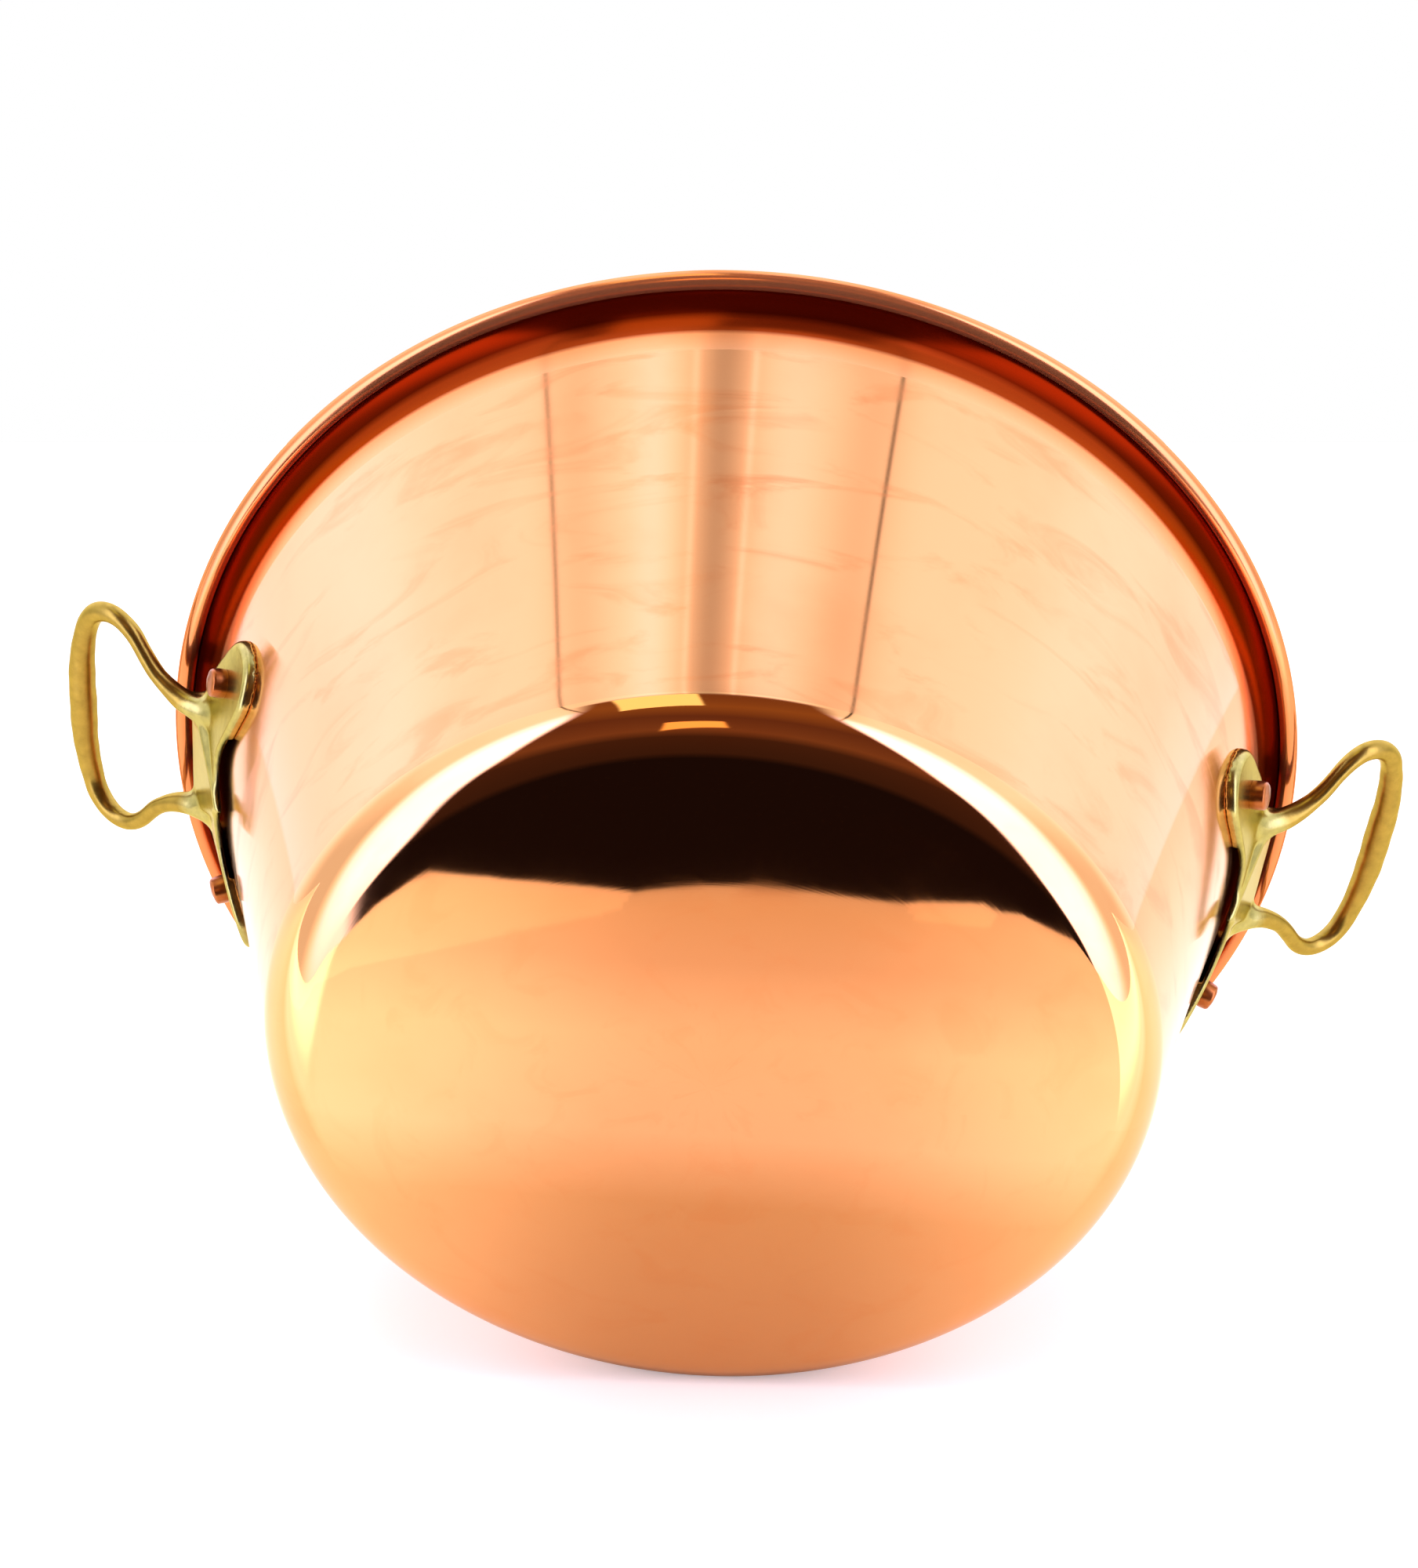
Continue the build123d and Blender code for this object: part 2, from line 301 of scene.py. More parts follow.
class JAMPAN_OT_sheet(bpy.types.Operator):
    """Spun copper: flat base, wall, flared lip and the curl round the wire"""
    bl_idname = "jampan.sheet"
    bl_label = "Copper sheet"

    def execute(self, context):
        sizes = context.scene.jam_pan
        section = pan_section(sizes)
        profile, ends = sheet_profile(sizes, section)
        around = 440
        # The base's two faces lie below 3 mm. Their waves fade out over the last 2 cm before the corner
        base_top, fade = 0.003, 0.02

        def settle(points):
            lift = waves(points, sizes.waviness) + 2 * sizes.waviness
            flat = fading(np.hypot(points[:, 0], points[:, 1]), section["corner"][0], fade)
            move = np.zeros_like(points)
            move[:, 2] = np.where(points[:, 2] < base_top, lift * flat, 0)
            return move

        piece = turned("copper_sheet", profile, around, settle)
        mesh = piece.data
        # Rings where the corner, the wall and the curl end, and the way along the profile through the cove
        corner_end, wall_end, curl_end = ends[1] - 1, ends[2] - 3, ends[7]
        way = travel(profile)
        cove = way[wall_end], way[ends[3] - 1]
        for finish in copper_finishes:
            mesh.materials.append(copper(context.scene.jam_pan_finishes, finish, cove))
        ring = np.repeat(np.arange(1, len(profile) - 2), around)
        zone = np.digitize(ring, (corner_end, wall_end, curl_end))
        caps = np.repeat([0, 3], around)
        mesh.polygons.foreach_set("material_index", np.concatenate([zone, caps]).astype(np.int32))
        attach(piece, "root")
        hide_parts("pan_body")
        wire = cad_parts["rim_wire"]
        wire.data.materials.clear()
        wire.data.materials.append(iron_wire())
        return {"FINISHED"}


def smooth_line(points, count, start=None, end=None):
    """A cubic spline through points, chord lengths as parameter. Its slopes m solve the rows
    h1 m0 + 2 (h0 + h1) m1 + h0 m2 = 3 (h1 d0 + h0 d1), with d the chords' slopes, and each stretch is the
    Hermite cubic of its ends. A free end has no curvature."""
    points = np.asarray(points, float)
    h = np.linalg.norm(np.diff(points, axis=0), axis=1)
    d = np.diff(points, axis=0) / h[:, None]
    n = len(points)
    rows, right = np.eye(n), np.zeros_like(points)
    inner = np.arange(1, n - 1)
    rows[inner, inner - 1], rows[inner, inner], rows[inner, inner + 1] = h[1:], 2 * (h[:-1] + h[1:]), h[:-1]
    right[inner] = 3 * (h[1:, None] * d[:-1] + h[:-1, None] * d[1:])
    right[0], right[-1] = 3 * d[0], 3 * d[-1]
    rows[0, :2], rows[-1, -2:] = (2, 1), (1, 2)
    for place, slope in ((0, start), (-1, end)):
        if slope is not None:
            rows[place] = 0
            rows[place, place] = 1
            right[place] = np.asarray(slope, float) / np.linalg.norm(slope)
    m = np.linalg.solve(rows, right)
    knots = travel(points)
    t = np.linspace(0, knots[-1], count)
    k = np.clip(np.searchsorted(knots, t, side="right") - 1, 0, n - 2)
    s, chord = ((t - knots[k]) / h[k])[:, None], h[k][:, None]
    return ((1 + 2 * s) * (1 - s) ** 2 * points[k] + s * (1 - s) ** 2 * chord * m[k]
            + s * s * (3 - 2 * s) * points[k + 1] - s * s * (1 - s) * chord * m[k + 1])


def to_line(points, line):
    """Distance from points to a line of short straight pieces, and the share of the line where it is least."""
    best, share = np.full(len(points), np.inf), np.zeros(len(points))
    for k, (a, b) in enumerate(zip(line[:-1], line[1:])):
        along = b - a
        t = np.clip((points - a) @ along / (along @ along), 0, 1)
        away = points - a - t[:, None] * along
        square = np.einsum("ij,ij->i", away, away)
        closer = square < best
        best[closer] = square[closer]
        share[closer] = (k + t[closer]) / (len(line) - 1)
    return np.sqrt(best), share


def enclosed(points, line):
    """Whether points lie within a closed line: a ray to the right crosses it an odd number of times."""
    inside = np.zeros(len(points), bool)
    x, y = points.T
    for a, b in zip(line, np.roll(line, -1, axis=0)):
        span = (a[1] > y) != (b[1] > y)
        if span.any():
            cross = a[0] + (y[span] - a[1]) / (b[1] - a[1]) * (b[0] - a[0])
            inside[span] ^= x[span] < cross
    return inside


def blended(a, b, width):
    """The union of two solids given by their distances, with a fillet of about this width between them."""
    near = np.maximum(width - np.abs(a - b), 0) / width
    return np.minimum(a, b) - near * near * width / 4


def rounded(a, b, radius):
    """What two solids given by their distances share, with the corner between them rounded."""
    u, v = a + radius, b + radius
    return np.hypot(np.maximum(u, 0), np.maximum(v, 0)) + np.minimum(np.maximum(u, v), 0) - radius


class Casting:
    """One handle as a field: the distance from its skin, negative inside the metal."""

    def __init__(self, pan, sizes, detail):
        self.section = pan_section(pan)
        self.lean = wall_lean(self.section, sizes.rivet_height)
        self.foot = np.array([wall_radius(self.section, sizes.rivet_height), 0, sizes.rivet_height])
        self.sizes = sizes
        above = outline_shares[:, 1:] > 0
        scale = np.where(above, (sizes.half_width, sizes.rise), (sizes.half_width, sizes.drop))
        half = smooth_line(outline_shares * scale, detail, (1, 0), (-1, -cusp_slope))
        self.outline = np.concatenate([half, half[-2:0:-1] * (-1, 1)])
        reach = (sizes.loop_reach, sizes.loop_half_width, sizes.loop_rise)
        half = self.foot + loop_shares[:, [1, 0, 2]] * reach
        # The arm goes on into the plate by this share of its first stretch
        sunk = 0.45
        half = np.concatenate([[half[0] - (half[1] - half[0]) * sunk], half])
        self.line = smooth_line(np.concatenate([half, half[-2::-1] * (1, -1, 1)]), 2 * detail)
        self.swell = np.concatenate([swell_shares, swell_shares[-2::-1]])
        self.extra = np.linalg.norm(half[1] - half[0]) / travel(self.line)[-1]
        self.lip_radius, self.lip_lean = pan.lip_radius, pan.lip_lean

    def off_pan(self, points):
        """Distance outwards from the pan's outer face: from the wall's arc, above its end from the lip's arc,
        and beyond the lip from the bead."""
        place = np.stack([np.hypot(points[:, 0], points[:, 1]), points[:, 2]], axis=-1)
        section = self.section
        wall = section["radius"] - np.linalg.norm(place - section["centre"], axis=1)
        lip = self.lip_radius - np.linalg.norm(place - section["lip"], axis=1)
        bead = np.linalg.norm(place - section["wire"], axis=1) - section["bead"]
        lean = np.radians(section["high"])
        above = (place - section["top"]) @ np.array([np.sin(lean), np.cos(lean)]) > 0
        off = place - section["lip"]
        turn = np.degrees(np.arctan2(off[:, 1], off[:, 0])) % 360
        beyond = above & ((turn < 180 - self.lip_lean) | (turn > 270))
        return np.where(beyond, bead, np.where(above, lip, wall))

    def front(self, across, up):
        """How far the front face stands off the wall. The wings are even. The middle is a flat facet between
        two creases that run from the cusp to the arms, and falls to the wings on a smooth step."""
        # Width of a crease, and the share of the plate's height at which the creases meet the arms
        crease, meet = 0.0035, 0.9
        s = self.sizes
        foot = outline_shares[-1, 1] * s.drop
        height = s.rise - foot
        plane = s.facet_low + (up - foot) / height * (s.facet_high - s.facet_low)
        plane = plane + across ** 2 / 2 / self.foot[0] * np.cos(self.lean)
        wide = outline_shares[1, 0] * s.half_width / (meet * height)
        outside = (np.abs(across) - wide * np.maximum(up - foot, 0)) / np.hypot(1, wide)
        rise = np.clip(1 - outside / crease, 0, 1)
        return s.thickness + (plane - s.thickness) * rise * rise * (3 - 2 * rise)

    def plate(self, points):
        """The plate: within the outline, and between the wall and the front face, its front edge rounded."""
        off = points - self.foot
        across = off[:, 1]
        up = off[:, 0] * np.sin(self.lean) + off[:, 2] * np.cos(self.lean)
        flat = np.stack([across, up], axis=-1)
        side, _ = to_line(flat, np.concatenate([self.outline, self.outline[:1]]))
        side[enclosed(flat, self.outline)] *= -1
        off = self.off_pan(points)
        front = rounded(side, off - self.front(across, up), self.sizes.edge)
        return np.maximum(front, rounded(side, -off, self.sizes.back_edge))

    def loop(self, points):
        """The loop: the distance to its line less a radius that swells from arm to grip. A few slow waves
        leave it as uneven as a sand casting."""
        away, share = to_line(points, self.line)
        place = np.clip((share - self.extra) / (1 - 2 * self.extra), 0, 1)
        swell = np.interp(place, np.linspace(0, 1, len(self.swell)), self.swell)
        radius = self.sizes.arm + swell * (self.sizes.grip - self.sizes.arm)
        # The waves lie below the radius, by up to 0.3 mm, so that the grip stays within its size
        x, y, z = points.T * 1000
        uneven = np.sin(0.31 * y + 0.17 * x) * np.sin(0.23 * z + 1.1) + 0.5 * np.sin(0.62 * y + 0.4 * z + 2.0)
        return away - radius + 0.0001 * (1.5 + uneven)

    def __call__(self, points):
        """Plate and loop together, less the hollow behind the plate, and just clear of the pan."""
        clear = 0.00005
        solid = blended(self.plate(points), self.loop(points), self.sizes.root)
        off = self.off_pan(points)
        hollow = np.maximum(np.abs(points[:, 1]) - self.sizes.relief_half, off - self.sizes.relief)
        return np.maximum(np.maximum(solid, -hollow), -clear - off)


def skin(field, low, high, cell):
    """The surface where a field is zero. The field is sampled in a box, coarsely and then finely where it is
    small. Each fine cell that the surface crosses has one point, and each grid edge that it crosses has one
    four-sided face, turned outwards."""
    coarse = 3 * cell
    shape = np.ceil((high - low) / coarse).astype(int)
    centres = low + (np.indices(shape).reshape(3, -1).T + 0.5) * coarse
    value = field(centres).reshape(shape)
    for axis in range(3):
        value = value.repeat(3, axis)
    near = np.abs(value) < coarse
    value[near] = field(low + (np.argwhere(near) + 0.5) * cell)
    solid = value < 0
    x, y, z = np.array(solid.shape) - 1
    corners = sum(solid[i:x + i, j:y + j, k:z + k].astype(int) for i in (0, 1) for j in (0, 1) for k in (0, 1))
    crossed = (corners > 0) & (corners < 8)
    number = np.full(crossed.shape, -1)
    number[crossed] = np.arange(crossed.sum())
    points = low + (np.argwhere(crossed) + 1) * cell
    faces = []
    for axis in range(3):
        one, two = (axis + 1) % 3, (axis + 2) % 3
        ahead = np.take(solid, range(1, solid.shape[axis]), axis)
        here = np.take(solid, range(solid.shape[axis] - 1), axis)
        for outwards in (True, False):
            edge = np.argwhere((here & ~ahead) if outwards else (~here & ahead))
            edge = edge[(edge[:, one] > 0) & (edge[:, two] > 0)]
            step_one, step_two = np.eye(3, dtype=int)[one], np.eye(3, dtype=int)[two]
            ring = [edge - step_one - step_two, edge - step_two, edge, edge - step_one]
            quad = np.stack([number[tuple(corner.T)] for corner in ring], axis=-1)
            faces.append(quad if outwards else quad[:, ::-1])
    return points, np.concatenate(faces)


def settled(field, points, faces, passes, reach):
    """Points drawn to the mean of their neighbours, then moved along the field's slope onto its zero."""
    pairs = np.concatenate([faces[:, [0, 1]], faces[:, [1, 2]], faces[:, [2, 3]], faces[:, [3, 0]]])
    pairs = np.concatenate([pairs, pairs[:, ::-1]])
    start, end = pairs.T
    count = np.bincount(start, minlength=len(points))[:, None]
    # Share of the way to the mean, the length over which a slope is taken, and the least slope squared
    pull, small, least = 0.5, 0.00002, 0.2
    for turn in range(passes):
        if turn < passes - 1:
            total = np.stack([np.bincount(start, column[end], len(points)) for column in points.T], axis=-1)
            points = points + pull * (total / count - points)
        value = field(points)
        slope = np.stack([(field(points + small * axis) - value) / small for axis in np.eye(3)], axis=-1)
        move = -value[:, None] * slope / np.maximum(np.einsum("ij,ij->i", slope, slope), least)[:, None]
        far = np.linalg.norm(move, axis=1, keepdims=True)
        points = points + move * np.minimum(1, reach / np.maximum(far, 1e-9))
    return points


class JAMPAN_OT_handles(bpy.types.Operator):
    """Two cast brass handles: a plate on the wall with a loop growing out of it"""
    bl_idname = "jampan.handles"
    bl_label = "Brass handles"

    def execute(self, context):
        sizes, pan = context.scene.jam_pan_handle, context.scene.jam_pan
        low, high = (np.array(corner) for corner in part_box("right_handle"))
        cell = 0.0007
        margin, passes = 0.004, 4
        # Points of half an outline, for the first surface and for the last
        coarse, fine = 40, 110
        rough = Casting(pan, sizes, coarse)
        points, faces = skin(rough, low - margin, high + margin, cell)
        points = settled(Casting(pan, sizes, fine), points, faces, passes, cell)
        # The loop's finish reaches 7 mm from the line of its free part, and fades out over 4 mm more
        rooted = 8
        away, _ = to_line(points, rough.line[rooted:-rooted])
        share = fading(away, 0.011, 0.004)
        # The painted shadow in the gap behind the plate reaches 2.5 mm from the wall, and to 2 mm short of the
        # hollow's ends
        near_wall = fading(rough.off_pan(points), 0.0031, 0.0006)
        hollow = near_wall * fading(np.abs(points[:, 1]), sizes.relief_half + 0.004, 0.006)
        for side, turn in (("right", 1), ("left", -1)):
            piece = build(f"{side}_casting", points * (turn, turn, 1), faces)
            for name, values in (("on_loop", share), ("painted_gap_shadow", hollow)):
                held = piece.data.attributes.new(name, "FLOAT", "POINT")
                held.data.foreach_set("value", values.astype(np.float32))
            piece.data.materials.append(brass(context.scene.jam_pan_finishes))
            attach(piece, "root")
            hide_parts(f"{side}_handle")
        return {"FINISHED"}


def rivet_profile(sizes, pan, handle):
    """A rivet's section (r, z) from the middle of its inner head to the middle of its outer head, z being
    measured outwards from the wall: a low dome, the shank, and a barrel that the hammer has spread. The
    barrel swells as a sine; its edge is a quarter of an ellipse, and its top a shallow parabola."""
    inner, outer, shank = sizes.inner_head / 2, sizes.outer_head / 2, sizes.shank / 2
    # How deep the dome, the barrel and the shank's end sit in their neighbours
    dome_sunk, barrel_sunk, shank_sunk = 0.0002, 0.0003, 0.0004
    # From the barrel's end to the top of the head, the edge's two radii, and the crown's height
    shoulder, edge_wide, edge_high, crown_high = 0.0019, 0.0015, 0.0014, 0.0004
    dome = np.linspace(0, np.pi / 2, 12)
    bottom = np.stack([inner * np.sin(dome),
                       -pan.sheet - sizes.inner_height * np.cos(dome) ** 1.3 + dome_sunk], axis=-1)
    base = handle.thickness - barrel_sunk
    top = handle.thickness + sizes.outer_height
    side = np.linspace(0, 1, 9)
    barrel = np.stack([outer * (0.955 + 0.045 * np.sin(np.pi * (0.12 + 0.8 * side))),
                       base + side * (top - base - shoulder)], axis=-1)
    turn = np.linspace(0, np.pi / 2, 7)[1:]
    edge = barrel[-1] + np.stack([edge_wide * (np.cos(turn) - 1), edge_high * np.sin(turn)], axis=-1)
    crown = np.linspace(1, 0, 8)[1:]
    cap = np.stack([edge[-1, 0] * crown, edge[-1, 1] + crown_high * (1 - crown ** 2)], axis=-1)
    middle = np.array([[shank, -pan.sheet / 2], [shank, base - shank_sunk]])
    return np.concatenate([bottom, middle, barrel, edge, cap])


def hammered(points, low, sizes, phase):
    """How the hammer moves the points of a head that starts at a height. It leaves the head out of round by
    sines with two and three lobes, more so higher up, and its top tilted, with dents as a product of sines."""
    two_lobes, three_lobes, tilted, dented, sunk = 0.0001, 0.00006, 0.00012, 0.00005, 0.0001
    x, y, z = points.T
    angle = np.arctan2(y, x)
    high = np.clip((z - low) / sizes.outer_height, 0, 1)
    out = two_lobes * np.sin(2 * angle + phase[0]) + three_lobes * np.sin(3 * angle + phase[1])
    tilt = tilted * (x * np.cos(phase[2]) + y * np.sin(phase[2])) / (sizes.outer_head / 2)
    dents = dented * np.sin(x * 1500 + phase[3]) * np.sin(y * 1400 + phase[4])
    radial = np.stack([np.cos(angle), np.sin(angle), np.zeros_like(angle)], axis=-1)
    move = radial * (out * high)[:, None]
    move[:, 2] += np.where(high > 0.8, tilt + dents - sunk, 0)
    return move


class JAMPAN_OT_rivets(bpy.types.Operator):
    """Four solid copper rivets, each with a low inner head and an upset outer one"""
    bl_idname = "jampan.rivets"
    bl_label = "Copper rivets"

    def execute(self, context):
        sizes, pan, handle = context.scene.jam_pan_rivet, context.scene.jam_pan, context.scene.jam_pan_handle
        section = pan_section(pan)
        foot = wall_radius(section, handle.rivet_height)
        lean = wall_lean(section, handle.rivet_height)
        turn = np.arcsin(handle.rivet_pitch / 2 / foot)
        profile = rivet_profile(sizes, pan, handle)
        around, seed = 64, 20
        for k, (name, azimuth) in enumerate((("right_front", -turn), ("right_back", turn),
                                             ("left_front", np.pi + turn), ("left_back", np.pi - turn))):
            phase = np.random.default_rng(seed + k).uniform(0, 2 * np.pi, 5)
            piece = turned(f"{name}_rivet_heads", profile, around,
                           lambda points: hammered(points, handle.thickness, sizes, phase))
            out = np.array([np.cos(lean) * np.cos(azimuth), np.cos(lean) * np.sin(azimuth), -np.sin(lean)])
            along = np.array([-np.sin(azimuth), np.cos(azimuth), 0])
            origin = np.array([foot * np.cos(azimuth), foot * np.sin(azimuth), handle.rivet_height])
            piece.data.transform(placed(along, np.cross(out, along), out, origin))
            piece.data.materials.append(rivet_copper(context.scene.jam_pan_finishes))
            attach(piece, "root")
            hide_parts(f"{name}_rivet")
        return {"FINISHED"}


def fill(tree, node, sockets):
    """Fills a node's sockets, each with a value or with a link from another socket."""
    for key, value in sockets.items():
        if isinstance(value, bpy.types.NodeSocket):
            tree.links.new(value, node.inputs[key])
        else:
            node.inputs[key].default_value = value


def add(tree, kind, sockets=None, **settings):
    """A new node with its settings and its sockets filled."""
    made = tree.nodes.new(kind)
    for key, value in settings.items():
        setattr(made, key, value)
    fill(tree, made, sockets or {})
    return made


def fresh(name):
    """A new material with only its output and a Principled shader."""
    material = bpy.data.materials.new(name)
    material.use_nodes = True
    tree = material.node_tree
    tree.nodes.clear()
    shader = add(tree, "ShaderNodeBsdfPrincipled")
    add(tree, "ShaderNodeOutputMaterial", {"Surface": shader.outputs[0]})
    return material, tree, shader


def calc(tree, operation, *values):
    """A Math node's result."""
    return add(tree, "ShaderNodeMath", dict(enumerate(values)), operation=operation).outputs[0]


def share_of(tree, value, low, high, start=0.0, end=1.0, **settings):
    """Carries a value from low and high to start and end, and holds it there beyond them."""
    made = add(tree, "ShaderNodeMapRange", {
        "Value": value, "From Min": low, "From Max": high, "To Min": start, "To Max": end}, **settings)
    return made.outputs[0]


def step(tree, value, low, high):
    """A smooth step from 0 at low to 1 at high."""
    return share_of(tree, value, low, high, interpolation_type="SMOOTHSTEP")


def times(tree, value, *others):
    """A product."""
    for other in others:
        value = calc(tree, "MULTIPLY", value, other)
    return value


def between(tree, value, low, high, soft):
    """1 between low and high and 0 beyond them, with a smooth step from soft before each to soft after it."""
    return times(tree, step(tree, value, low - soft, low + soft), step(tree, value, high + soft, high - soft))


def noise(tree, place, scale, detail=2.0, roughness=0.5, distortion=0.0, result="Fac", **settings):
    """A cloudy noise from 0 to 1."""
    return add(tree, "ShaderNodeTexNoise", {
        "Vector": place, "Scale": scale, "Detail": detail, "Roughness": roughness, "Distortion": distortion},
        **settings).outputs[result]


def own_place(tree):
    """A point's place in the object's own metres."""
    return add(tree, "ShaderNodeTexCoord").outputs["Object"]


def toward(tree, place, axis):
    """How far a point or a direction reaches along an axis."""
    made = add(tree, "ShaderNodeVectorMath", {0: place, 1: tuple(axis)}, operation="DOT_PRODUCT")
    return made.outputs["Value"]


def mix(tree, share, one, other, **settings):
    """One colour where the share is 0, and the other where it is 1."""
    made = add(tree, "ShaderNodeMix", {"Factor": share, 6: one, 7: other}, data_type="RGBA", **settings)
    return made.outputs[2]


def bumps(tree, height, distance, strength):
    """The normal of a surface with a height from 0 to a distance."""
    made = add(tree, "ShaderNodeBump", {"Height": height, "Distance": distance, "Strength": strength})
    return made.outputs[0]


def rgba(values):
    """Four numbers for a colour socket."""
    return (*values, 1.0)


def graded(tree, value, stops):
    """A colour that runs through stops, each with its place from 0 to 1 and its red, green and blue."""
    made = add(tree, "ShaderNodeValToRGB", {"Fac": value})
    elements = made.color_ramp.elements
    for k, (where, values) in enumerate(stops):
        stop = elements[k] if k < 2 else elements.new(where)
        stop.position, stop.color = where, rgba(values)
    return made.outputs[0]


# For each part of the sheet: its finish, how much the smears and the clouds dull it, its roughness where it is
# clean and where it is dull, how far its brushing stretches a reflection, and how strongly the marks stand out
copper_finishes = {
    "base": ("mirror_polished_copper", (0.10, 0.10), (0.03, 0.08), 0.5, 0.1),
    "wall": ("brushed_copper_wall", (0.30, 0.14), (0.075, 0.13), 0.97, 0.5),
    "rim": ("burnished_copper_rim", (0.25, 0.15), (0.14, 0.22), 0.5, 0.02),
    "inside": ("brushed_copper_inside", (0.2, 0.3), (0.16, 0.26), 0.9, 0.5),
}
# Painted shade in the cove, from the wall (0) to the bead (1): a place, the power of the wall's colour there, its
# gain
cove_shade_stops = ((0.0, 1.0, 1.0), (0.26, 1.3, 0.95), (0.33, 2.6, 0.36), (0.5, 2.8, 0.32), (0.6, 3.6, 0.1),
              (0.78, 3.8, 0.2), (0.92, 3.6, 0.24), (0.97, 1.3, 0.85))


def copper(finishes, part, cove):
    """Bare copper sheet, spun, then brushed round the pan or mirror polished. The brushing stretches each
    reflection along the wall and leaves it sharp across it; the polish shows the room, with faint rings.
    The cove under the rim is painted dark red: painted shade, for its shadow and the light that copper bounces
    onto copper."""
    name, (smeared, clouded), (clean, dulled), stretch, depth = copper_finishes[part]
    tone = finishes.wall if part == "rim" else getattr(finishes, part)
    material, tree, shader = fresh(name)
    uv = add(tree, "ShaderNodeUVMap", uv_map="around").outputs[0]
    place = own_place(tree)
    # Brush marks run round the pan. Real ones are about 0.05 mm apart; these are 0.5 mm, to show
    lines = add(tree, "ShaderNodeMapping", {"Vector": uv, "Scale": (2000, 5, 1)}).outputs[0]
    marks = noise(tree, lines, 1.0, 3.0, 0.6, noise_dimensions="2D")
    # A cloth leaves slanting smears, about 14 mm wide and 60 mm long, which a coarse noise bends
    slant = add(tree, "ShaderNodeMapping", {
        "Vector": uv, "Scale": (100, 30, 1), "Rotation": (0, 0, 0.55)}).outputs[0]
    bent = noise(tree, place, 9.0, result="Color")
    slant = add(tree, "ShaderNodeMix", {"Factor": 0.985, 4: bent, 5: slant}, data_type="VECTOR").outputs[1]
    smear = step(tree, noise(tree, slant, 0.7, 6.0, 0.58, 0.6, noise_dimensions="2D"), 0.5, 0.72)
    # Handling leaves cloudy smudges 2 to 6 cm across
    cloud = step(tree, noise(tree, place, 26.0, 4.0), 0.42, 0.75)
    dull = calc(tree, "MULTIPLY_ADD", smear, smeared, times(tree, cloud, clouded))
    if part == "rim":
        # The cove's colour ramp is painted shade: a dark red for its shadow and for copper's light bounced onto
        # copper
        way = add(tree, "ShaderNodeSeparateXYZ", {"Vector": uv}).outputs["X"]
        shade = graded(tree, share_of(tree, way, *cove), [
            (where, [gain * channel ** power for channel in tone]) for where, power, gain in cove_shade_stops])
        # A part of the light scatters, and the rest is tinted where the eye grazes it
        fill(tree, shader, {
            "Metallic": 0.84, "Specular IOR Level": 0.0, "Specular Tint": (0.95, 0.62, 0.42, 1)})
    else:
        shade = mix(tree, dull, rgba(tone), rgba([channel ** 1.8 for channel in tone]))
        fill(tree, shader, {"Metallic": 1.0})
    worn = share_of(tree, times(tree, marks, dull), 0.0, 0.2, clean, dulled)
    tangent = add(tree, "ShaderNodeTangent", direction_type="UV_MAP", uv_map="around").outputs[0]
    fill(tree, shader, {"Base Color": shade, "Roughness": worn, "Anisotropic": stretch, "Tangent": tangent,
                        "Normal": bumps(tree, marks, 0.00001, depth)})
    return material


def brass(finishes):
    """Cast brass. The plate is buffed and pale, with fine scratches. The loop keeps a tumbled cast skin,
    warmer and mottled, so it glows rather than mirrors."""
    material, tree, shader = fresh("cast_brass")
    place = own_place(tree)
    on_loop = add(tree, "ShaderNodeAttribute", attribute_name="on_loop").outputs["Fac"]
    tone = mix(tree, on_loop, rgba(finishes.plate), rgba(finishes.grip))
    spots = share_of(tree, noise(tree, place, 260.0, 5.0, 0.65), 0.35, 0.75, 1.0, 0.72)
    tone = mix(tree, 1.0, tone, spots, blend_type="MULTIPLY")
    # Painted shadow: the hollow behind the plate and the edge beside it are painted near black, for the shade in
    # the gap between plate and wall
    hollow = add(tree, "ShaderNodeAttribute", attribute_name="painted_gap_shadow").outputs["Fac"]
    tone = mix(tree, hollow, tone, (0.012, 0.009, 0.006, 1))
    fill(tree, shader, {
        "Base Color": tone, "Metallic": 1.0, "Specular Tint": (0.95, 0.86, 0.52, 1),
        "Roughness": share_of(tree, on_loop, 0.0, 1.0, 0.24, 0.3),
        "Normal": bumps(tree, noise(tree, place, 1400.0, 3.0), 0.00006, 0.35)})
    return material


def rivet_copper(finishes):
    """Solid copper, upset cold: a brown skin, brighter where the hammer and the buff have met it."""
    material, tree, shader = fresh("hammered_rivet_copper")
    clouds = noise(tree, own_place(tree), 520.0, 4.0)
    dark = [channel ** 1.6 for channel in finishes.rivet]
    fill(tree, shader, {
        "Base Color": mix(tree, clouds, rgba(finishes.rivet), rgba(dark)), "Metallic": 1.0, "Roughness": 0.3,
        "Normal": bumps(tree, clouds, 0.0001, 0.3)})
    return material


def iron_wire():
    """Drawn iron wire, grey and slightly scaled; it lies hidden in the rolled rim."""
    material, tree, shader = fresh("drawn_iron_wire")
    scale = noise(tree, own_place(tree), 400.0, 3.0)
    fill(tree, shader, {
        "Base Color": mix(tree, scale, rgba(colour("#8A8682")), rgba(colour("#5E5A57"))), "Metallic": 1.0,
        "Roughness": 0.45})
    return material


